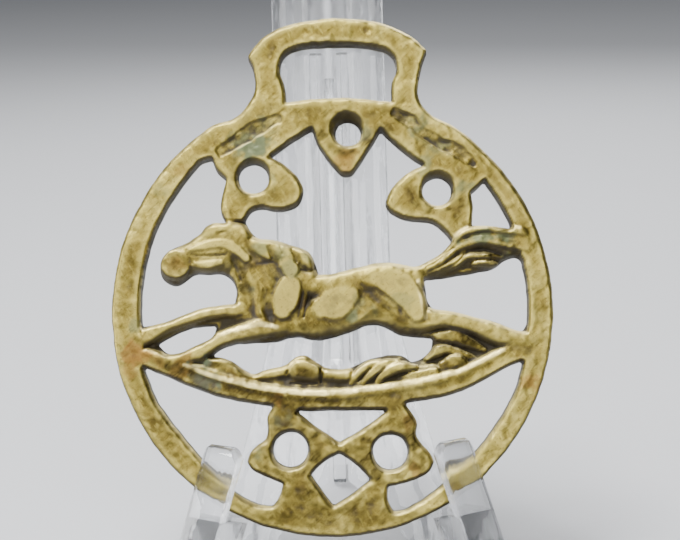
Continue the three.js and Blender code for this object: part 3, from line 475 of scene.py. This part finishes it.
# ---- The height of the casting over its back ----
def ground_edge(grid):
    """Distance from the edge of the sunk ground, below zero inside it."""
    rx, ry = RIM_INSIDE
    oval = np.hypot((grid.x - RIM_CENTRE[0]) / rx, (grid.y - RIM_CENTRE[1]) / ry)
    in_rim = (oval - 1) * rx
    under = grid.y - np.interp(grid.x, *zip(*GROUND_TOP))
    bar = spline(BAR, 1)
    over = np.interp(grid.x, bar[:, 0], bar[:, 1]) + GROUND_OVER_BAR - grid.y
    return np.maximum(np.maximum(in_rim, under), over)


def relief_height(grid):
    """The flat frame, the sunk ground and the ridges on it, before anything is cut or filed."""
    height = FLOOR + (FACE - FLOOR) * smooth_step(-0.25, 0.25, ground_edge(grid))
    for name, stations in {**HORSE, **GROUND, "bar": BAR}.items():
        rows, cols, across, top = stroke(grid, stations)
        back = FLAT_BACK if "leg" in name or "hoof" in name or name in GROUND else ROUND_BACK
        dome = RIDGE_FOOT + (top - RIDGE_FOOT) * np.clip(1 - across ** back, 0, 1) ** RIDGE_SHOULDER
        blend = FIGURE_BLEND if name in HORSE else GROUND_BLEND
        height[rows, cols] = smooth_max(height[rows, cols], dome, blend)
    x, y, radius, top = MUZZLE
    away = np.hypot(grid.x - x, grid.y - y)
    disc = top - 4 * np.clip(away - radius, 0, 1)
    return np.where(away < radius + 0.6, smooth_max(height, disc, 0.08), height)


def carve(grid, height, stations, ragged=None):
    """Cuts a groove, or a flat-floored pocket with a ragged edge and a rough floor."""
    rows, cols, across, depth = stroke(grid, stations)
    if ragged is None:
        cut = depth * (1 - smooth_step(0.0, 1.0, across))
    else:
        rough = ragged[rows, cols]
        cut = depth * (1 + 0.5 * rough) * (1 - smooth_step(0.62, 0.95, across + 0.25 * rough))
    height[rows, cols] -= cut


def casting(grid, distance):
    """The finished height, and how much each place is filed, from 0 to 1."""
    height = relief_height(grid)
    for lines in GROOVES.values():
        for stations in lines:
            carve(grid, height, stations)
    filed = smooth_step(FILED - 0.1, FILED + 0.12, height)
    height = smooth_min(height, FILED, FILED_BLEND)
    rough = grid.layered_noise(ROUGH_CASTING)
    ground = smooth_step(0.5, -0.5, ground_edge(grid)) * smooth_step(3.0, 2.2, height)
    height = height + rough * (1 + 0.9 * ground) * (1 - 0.8 * filed)
    for x, y, radius, fall in MOUTHS:
        inside = radius - np.hypot(grid.x - x, grid.y - y)
        height = np.minimum(height, FACE + 0.05 - fall * inside)
    for stations in POCKETS:
        carve(grid, height, stations, ragged=grid.layered_noise(POCKET_NOISE))
    up = np.gradient(grid.blur(distance, 0.3), CELL)[0]
    reach = ROUND_IN[0] + (ROUND_IN[1] - ROUND_IN[0]) * smooth_step(-0.6, 0.8, up)
    inward = np.clip((-distance - WALL_LEAN) / reach, 0, 1)
    drop = ROUND_DOWN * (1 - 0.55 * inward - 0.45 * np.sqrt(1 - (1 - inward) ** 2))
    return np.maximum(height - drop, LOWEST_TOP), filed


def slope_highlight_and_shade(grid, height):
    """Painted highlight where a steep place faces up in the plate, and painted shade where it faces down."""
    steep = -np.gradient(grid.blur(height, 0.12), CELL)[0]
    facing_up = steep / np.sqrt(1 + steep ** 2)
    return smooth_step(0.38, 0.85, facing_up), smooth_step(0.2, 0.7, -facing_up)


def brushed(grid, strokes):
    """Soft strokes, broken up in small patches, from 0 to 1."""
    out = np.zeros(grid.x.shape)
    for stations in strokes:
        wide = [(x, y, half * 1.4, strength) for x, y, half, strength in stations]
        rows, cols, across, strength = stroke(grid, wide)
        out[rows, cols] = np.maximum(out[rows, cols], strength * smooth_step(1, 0.25, across))
    return np.clip(out * (1 + grid.layered_noise(STROKE_NOISE)), 0, 1)


def stain(grid, spots):
    """Soft, ragged patches, from 0 to 1."""
    ragged = grid.layered_noise(STAIN_NOISE)
    out = np.zeros(grid.x.shape)
    for x, y, radius, strength in spots:
        near = np.hypot(grid.x - x, grid.y - y) / radius
        out = np.maximum(out, strength * smooth_step(1.25, 0.3, near + ragged))
    return out


# ---- The mesh over the grid ----
def kept_cells(distance):
    """Cells of the grid that lie on the metal, with no two touching only at a corner."""
    middle = (distance[:-1, :-1] + distance[1:, :-1] + distance[:-1, 1:] + distance[1:, 1:]) / 4
    kept = middle < -WALL_LEAN
    while True:
        a, b, c, d = kept[:-1, :-1], kept[:-1, 1:], kept[1:, :-1], kept[1:, 1:]
        rising = b & c & ~a & ~d
        falling = a & d & ~b & ~c
        if not (rising.any() or falling.any()):
            return kept
        kept[:-1, :-1] |= rising
        kept[:-1, 1:] |= falling


def build_casting_mesh(grid, distance, fields):
    """Points, faces and per-point values: relief on top, walls round it and a flat back."""
    kept = kept_cells(distance)
    rows, cols = np.nonzero(kept)
    width = len(grid.xs)
    quads = np.stack([rows * width + cols, rows * width + cols + 1,
                      (rows + 1) * width + cols + 1, (rows + 1) * width + cols], axis=1)
    used, quads = np.unique(quads, return_inverse=True)
    quads = quads.reshape(-1, 4)
    x, y = grid.x.ravel()[used], grid.y.ravel()[used]

    sides = np.concatenate([quads[:, [k, (k + 1) % 4]] for k in range(4)])
    keys = sides[:, 0].astype(np.int64) * len(used) + sides[:, 1]
    twins = sides[:, 1].astype(np.int64) * len(used) + sides[:, 0]
    border = sides[~np.isin(keys, twins)]
    rim = np.unique(border)

    slope_y, slope_x = np.gradient(grid.blur(distance, 0.25), CELL)
    for _ in range(3):
        out = np.stack([grid.sample(slope_x, x[rim], y[rim]), grid.sample(slope_y, x[rim], y[rim])])
        out /= np.maximum(np.hypot(*out), 1e-6)
        short = np.clip(-WALL_LEAN - grid.sample(distance, x[rim], y[rim]), -0.3, 0.3)
        x[rim] += out[0] * short
        y[rim] += out[1] * short
    top = grid.sample(fields["height"], x, y)
    points = [np.stack([x, y, top], axis=1)]
    faces = [quads]
    values = {name: [grid.sample(field, x, y)] for name, field in fields.items() if name != "height"}
    # wall is 1 on the side walls and BACK_SHADE on the back; the material darkens them nearly black, partly
    # as cast skin and partly as painted shade
    values["wall"] = [np.zeros(len(x))]

    number = np.full(len(used), -1)
    number[rim] = np.arange(len(rim))
    ring_above = np.arange(len(used))[rim]
    start = len(used)
    for level in WALL_RINGS:
        spread = WALL_LEAN * (1 - level)
        ring = np.stack([x[rim] + out[0] * spread, y[rim] + out[1] * spread, top[rim] * level], axis=1)
        points.append(ring)
        ring_below = start + np.arange(len(rim))
        a, b = number[border[:, 0]], number[border[:, 1]]
        faces.append(np.stack([ring_above[b], ring_above[a], ring_below[a], ring_below[b]], axis=1))
        for name, parts in values.items():
            if name == "wall":
                parts.append(np.full(len(rim), 1.0 if level else BACK_SHADE))
            else:
                parts.append(parts[0][rim] if level else np.zeros(len(rim)))
        ring_above = ring_below
        start += len(rim)

    flat = [Vector(p) for p in points[-1][:, :2]]
    edges = np.stack([number[border[:, 0]], number[border[:, 1]]], axis=1)
    where, _, triangles, source, _, _ = delaunay_2d_cdt(flat, edges.tolist(), [], 1, 1e-7)
    back = [source[i][0] if source[i] else -1 for i in range(len(where))]
    triangles = [[back[i] for i in t] for t in triangles]
    triangles = np.array([t for t in triangles if min(t) >= 0])
    middle = points[-1][triangles, :2].mean(axis=1)
    inside = grid.sample(distance, middle[:, 0], middle[:, 1]) < 0.02
    faces.append(ring_above[triangles[inside]][:, ::-1])
    return np.vstack(points), faces, {name: np.concatenate(parts) for name, parts in values.items()}


def new_piece(name, points, faces, material, replaced):
    """A smooth-shaded mesh piece that stands for a node of the frame."""
    mesh = bpy.data.meshes.new(name)
    mesh.from_pydata(points.tolist(), [], [face for group in faces for face in group.tolist()])
    mesh.polygons.foreach_set("use_smooth", [True] * len(mesh.polygons))
    return finish_piece(bpy.data.objects.new(name, mesh), material, replaced)


def finish_piece(piece, material, replaced):
    """Dresses a piece, puts it in the scene under the root body and hides the node it replaces."""
    piece.data.materials.clear()
    piece.data.materials.append(material)
    bpy.context.scene.collection.objects.link(piece)
    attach(piece, "root")
    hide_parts(replaced)
    return piece


# ---- Materials ----
PATINA = [(0.37, (0.105, 0.075, 0.017)), (0.45, (0.165, 0.124, 0.026)),
          (0.53, (0.235, 0.184, 0.04)), (0.63, (0.34, 0.28, 0.075))]
DARK_HATCHING = (0.07, 0.048, 0.01)
PALE_HATCHING = (0.42, 0.35, 0.08)
FILED_BRASS = (0.48, 0.395, 0.105)
RAISED_BRASS = (0.6, 0.5, 0.13)
# colour of the painted highlights on edges facing up
HIGHLIGHT_BRASS = (0.95, 0.8, 0.32)
SPECKS = (0.08, 0.05, 0.014)
RED_STAIN = (0.19, 0.082, 0.022)
GREEN_STAIN = (0.075, 0.1, 0.042)
# colour of the grime and of the painted shade strokes
GRIME_AND_SHADE_BROWN = (0.04, 0.029, 0.009)
# near black for dirt in the hollows and for painted shade on slopes facing down and on the walls
DIRT_AND_SHADE_BLACK = (0.018, 0.013, 0.006)
PLASTIC = (0.97, 0.98, 0.99)
PLASTIC_IOR = 1.49
FLOOR_GREY = (0.5, 0.51, 0.53)
SKY = (0.60, 0.62, 0.66)
SKY_STRENGTH = 0.25


class Nodes:
    """A short way to write a material's node tree."""

    def __init__(self, name):
        self.material = bpy.data.materials.new(name)
        self.material.use_nodes = True
        self.tree = self.material.node_tree
        self.tree.nodes.clear()

    def add(self, kind, inputs=None, **settings):
        node = self.tree.nodes.new("ShaderNode" + kind)
        for key, value in settings.items():
            setattr(node, key, value)
        for key, value in (inputs or {}).items():
            if isinstance(value, bpy.types.NodeSocket):
                self.tree.links.new(value, node.inputs[key])
            else:
                node.inputs[key].default_value = value
        return node

    def noise(self, place, scale, detail=4.0, rough=0.55):
        return self.add("TexNoise", {"Vector": place, "Scale": scale, "Detail": detail,
                                     "Roughness": rough}).outputs["Fac"]

    def ramp(self, value, stops):
        """Maps a value through (position, colour) stops."""
        node = self.add("ValToRGB", {"Fac": value})
        elements = node.color_ramp.elements
        while len(elements) < len(stops):
            elements.new(0.5)
        for element, (position, colour) in zip(elements, stops):
            element.position = position
            element.color = (*colour, 1)
        return node.outputs["Color"]

    def level(self, value, low, high, to_low=0.0, to_high=1.0):
        """Maps low to high smoothly onto to_low to to_high, and holds the ends."""
        return self.add("MapRange", {"Value": value, "From Min": low, "From Max": high,
                                     "To Min": to_low, "To Max": to_high},
                        interpolation_type="SMOOTHSTEP").outputs["Result"]

    def maths(self, operation, a, b):
        return self.add("Math", {0: a, 1: b}, operation=operation).outputs[0]

    def mix(self, fac, a, b):
        """The colour a, with colour b over it as far as fac says."""
        node = self.add("Mix", data_type="RGBA")
        sockets = {"Factor": fac, "A": a, "B": (*b, 1)}
        for name, value in sockets.items():
            target = [s for s in node.inputs if s.name == name and s.enabled][0]
            if isinstance(value, bpy.types.NodeSocket):
                self.tree.links.new(value, target)
            else:
                target.default_value = value
        return [s for s in node.outputs if s.enabled][0]

    def attribute(self, name):
        return self.add("Attribute", attribute_name=name).outputs["Fac"]

    def bump(self, height, strength, distance, normal=None):
        inputs = {"Height": height, "Strength": strength, "Distance": distance}
        if normal is not None:
            inputs["Normal"] = normal
        return self.add("Bump", inputs).outputs["Normal"]

    def finish(self, **inputs):
        shader = self.add("BsdfPrincipled", {key.replace("_", " "): value for key, value in inputs.items()})
        self.add("OutputMaterial", {"Surface": shader.outputs["BSDF"]})
        return self.material


def aged_brass():
    """Patchy old brass: polished on what stands up, grimy in what lies low, with stains; with painted
    highlights on edges facing up, and painted shade on slopes facing down, on the walls and over the lower
    half.
    """
    n = Nodes("aged brass")
    plate = n.add("Attribute", attribute_name="plate").outputs["Vector"]

    def noise(scale, detail=4.0, rough=0.55, stretch=(1, 1, 1), turn=0.0):
        """Noise over the plate, scale bumps to the mm, drawn out where stretch is over 1."""
        place = n.add("Mapping", {"Vector": plate, "Rotation": (0, 0, turn), "Scale": stretch},
                      vector_type="TEXTURE")
        return n.noise(place.outputs["Vector"], scale, detail, rough)

    def share(value, amount):
        return n.maths("MULTIPLY", value, amount)

    broad, patches, speckle = noise(0.09, 3), noise(0.34, 5, 0.62), noise(1.8, 4, 0.65)
    hatch = noise(2.2, 4, 0.6, (1, 5, 1), math.radians(-48))
    cross = noise(1.9, 4, 0.6, (1, 4, 1), math.radians(32))
    cavity, filed, wall = n.attribute("cavity"), n.attribute("filed"), n.attribute("wall")
    # dirt in the hollows, and painted shade on slopes facing down
    dirt_and_shade = n.level(n.maths("ADD", cavity, n.level(patches, 0.3, 0.7, -0.1, 0.1)), 0.04, -0.26)
    dirt_and_shade = n.maths("MAXIMUM", dirt_and_shade, share(n.attribute("painted_under_shade"), 0.9))
    # grime, partly painted shade, laid in broken strokes
    grime_and_shade = n.maths("MULTIPLY", n.attribute("grime_and_shade"), n.level(hatch, 0.3, 0.6, 1.0, 0.7))

    metal = n.ramp(n.maths("ADD", share(broad, 0.45), share(patches, 0.55)), PATINA)
    layers = [(n.level(hatch, 0.5, 0.68, 0.0, 0.55), DARK_HATCHING),
              (n.level(cross, 0.54, 0.7, 0.0, 0.4), PALE_HATCHING),
              (share(filed, 0.45), FILED_BRASS),
              (n.level(cavity, 0.05, 0.32, 0.0, 0.35), RAISED_BRASS),
              (n.level(speckle, 0.56, 0.7, 0.0, 0.55), SPECKS),
              (n.attribute("red"), RED_STAIN),
              (n.attribute("green"), GREEN_STAIN),
              (grime_and_shade, GRIME_AND_SHADE_BROWN),
              # painted highlights on edges and slopes facing up
              (share(n.attribute("painted_highlight"), 0.68), HIGHLIGHT_BRASS),
              (share(dirt_and_shade, 0.93), DIRT_AND_SHADE_BLACK),
              # walls darkened nearly black: partly cast skin, partly painted shade
              (share(wall, 0.93), DIRT_AND_SHADE_BLACK)]
    for amount, colour in layers:
        metal = n.mix(amount, metal, colour)

    rough = n.maths("ADD", n.level(patches, 0.35, 0.65, 0.36, 0.5), share(dirt_and_shade, 0.2))
    shine = n.maths("SUBTRACT", 1.0, share(n.maths("MAXIMUM", dirt_and_shade, n.attribute("green")), 0.6))
    bump = n.bump(noise(1.3, 6, 0.65), 0.35, 0.00014)
    bump = n.bump(hatch, 0.45, 0.0001, bump)
    bump = n.bump(noise(4, 5, 0.7), 0.6, 0.00008, bump)
    return n.finish(Base_Color=metal, Metallic=shine, Roughness=rough, Normal=bump)


def clear_plastic():
    """Clear plastic with a faint haze, and upright ripples as a moulding's flutes give."""
    n = Nodes("clear plastic")
    place = n.add("TexCoord").outputs["Object"]
    haze = n.level(n.noise(place, 500), 0.35, 0.75, 0.02, 0.09)
    upright = n.add("Mapping", {"Vector": place, "Scale": (1, 1, 0.08)}).outputs["Vector"]
    ripple = n.bump(n.noise(upright, 420, 2, 0.5), 0.35, 0.0004)
    return n.finish(Base_Color=(*PLASTIC, 1), Roughness=haze, IOR=PLASTIC_IOR,
                    Transmission_Weight=1.0, Alpha=0.85, Normal=ripple)


def pale_floor():
    return Nodes("pale floor").finish(Base_Color=(*FLOOR_GREY, 1), Roughness=0.6)


# ---- The pieces ----
def make_brass(plate):
    """The casting, with what its material reads stored on its points."""
    grid = Grid()
    loops = [smoothed_loop(loop) for loop in plate.outline_loops()]
    distance = grid.blur(signed_distance(grid, loops), 0.16) + OUTLINE_IN + grid.layered_noise(OUTLINE_WANDER)
    height, filed = casting(grid, distance)
    on_metal = np.where(distance < 0, height, 0.4)
    cavity = 0.5 * (on_metal - grid.blur(on_metal, 0.5)) + 0.35 * (on_metal - grid.blur(on_metal, 1.3))
    # painted highlight on steep places facing up, painted shade on steep places facing down
    painted_highlight, painted_under_shade = slope_highlight_and_shade(grid, np.where(distance < -0.05, height, 0.8))
    fields = {"height": height, "cavity": cavity, "filed": filed, "painted_under_shade": painted_under_shade,
              "painted_highlight": np.maximum(painted_highlight, brushed(grid, HIGHLIGHT_LINES)), "grime_and_shade": brushed(grid, GRIME_AND_SHADE_LINES),
              "green": stain(grid, VERDIGRIS), "red": stain(grid, COPPER_RED)}
    points, faces, values = build_casting_mesh(grid, distance, fields)
    piece = new_piece("brass_casting", plate.to_frame(points), faces,
                      aged_brass(), "horse_brass")
    for name, numbers in values.items():
        piece.data.attributes.new(name, "FLOAT", "POINT").data.foreach_set("value", numbers)
    piece.data.attributes.new("plate", "FLOAT_VECTOR", "POINT").data.foreach_set("vector", points.ravel())


def moulded_copy(node_name, name, material):
    """A node's solid with the small rounded edges of moulded plastic."""
    made = bmesh.new()
    made.from_mesh(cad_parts[node_name].data)
    bmesh.ops.remove_doubles(made, verts=made.verts, dist=1e-6)
    bmesh.ops.dissolve_limit(made, angle_limit=math.radians(0.6), verts=made.verts, edges=made.edges)
    mesh = bpy.data.meshes.new(name)
    made.to_mesh(mesh)
    made.free()
    piece = bpy.data.objects.new(name, mesh)
    bpy.context.scene.collection.objects.link(piece)
    bevel = piece.modifiers.new("rounded edges", "BEVEL")
    bevel.width = MOULDED_EDGE / 1000
    bevel.segments = 2
    bevel.limit_method = "ANGLE"
    bevel.angle_limit = math.radians(40)
    bevel.use_clamp_overlap = True
    rounded = bpy.data.meshes.new_from_object(piece.evaluated_get(bpy.context.evaluated_depsgraph_get()))
    bpy.data.objects.remove(piece)
    rounded.set_sharp_from_angle(angle=math.radians(32))
    finish_piece(bpy.data.objects.new(name, rounded), material, node_name)


# ---- Floor, light and camera, in metres and watts ----
LIGHTS = [("key", (-0.2, -0.1, 0.78), 0.36, 13.5), ("front", (0.0, -0.42, 0.3), 0.3, 1.9),
          ("left", (-0.5, -0.14, 0.15), 0.25, 2.6), ("back", (0.1, 0.45, 0.4), 0.4, 2.5)]
LIT_POINT = Vector((0, 0, 0.045))
AIM = (1.3, 6.6, FACE)        # the middle of the view, on the plate in mm
UNDER_NORMAL = math.radians(7.6)
CAMERA_AWAY = 0.28
VIEW_WIDTH = 0.11565          # of the plane through the aim
SENSOR = 36                   # in mm


def make_studio():
    """A pale floor, a soft sky and four area lights."""
    bpy.ops.mesh.primitive_plane_add(size=6)
    floor = bpy.context.object
    floor.name = "studio_floor"
    floor.data.materials.append(pale_floor())
    world = bpy.data.worlds.new("soft sky")
    world.use_nodes = True
    world.node_tree.nodes["Background"].inputs["Color"].default_value = (*SKY, 1)
    world.node_tree.nodes["Background"].inputs["Strength"].default_value = SKY_STRENGTH
    bpy.context.scene.world = world
    for name, place, size, power in LIGHTS:
        data = bpy.data.lights.new(name, "AREA")
        data.size = size
        data.energy = power
        lamp = bpy.data.objects.new(name, data)
        lamp.location = place
        lamp.rotation_euler = (LIT_POINT - lamp.location).to_track_quat("-Z", "Y").to_euler()
        bpy.context.scene.collection.objects.link(lamp)


def make_camera(plate):
    """Looks at the brass's face from a little under its normal, as the photo does."""
    pitch = LEAN - UNDER_NORMAL
    backward = Vector((0, -math.cos(pitch), math.sin(pitch)))
    data = bpy.data.cameras.new("camera")
    data.sensor_width = SENSOR
    data.lens = SENSOR * CAMERA_AWAY / VIEW_WIDTH
    camera = bpy.data.objects.new("camera", data)
    camera.location = Vector(plate.to_frame(AIM)) + backward * CAMERA_AWAY
    level = (-backward).to_track_quat("-Z", "Y").to_matrix().to_4x4()
    camera.matrix_world = Matrix.Translation(camera.location) @ level @ Matrix.Rotation(TURN, 4, "Z")
    bpy.context.scene.collection.objects.link(camera)
    bpy.context.scene.camera = camera


plate = Plate(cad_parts["horse_brass"])
make_brass(plate)
plastic = clear_plastic()
moulded_copy("easel_front", "easel_moulding", plastic)
moulded_copy("easel_strut", "easel_prop", plastic)
make_studio()
make_camera(plate)
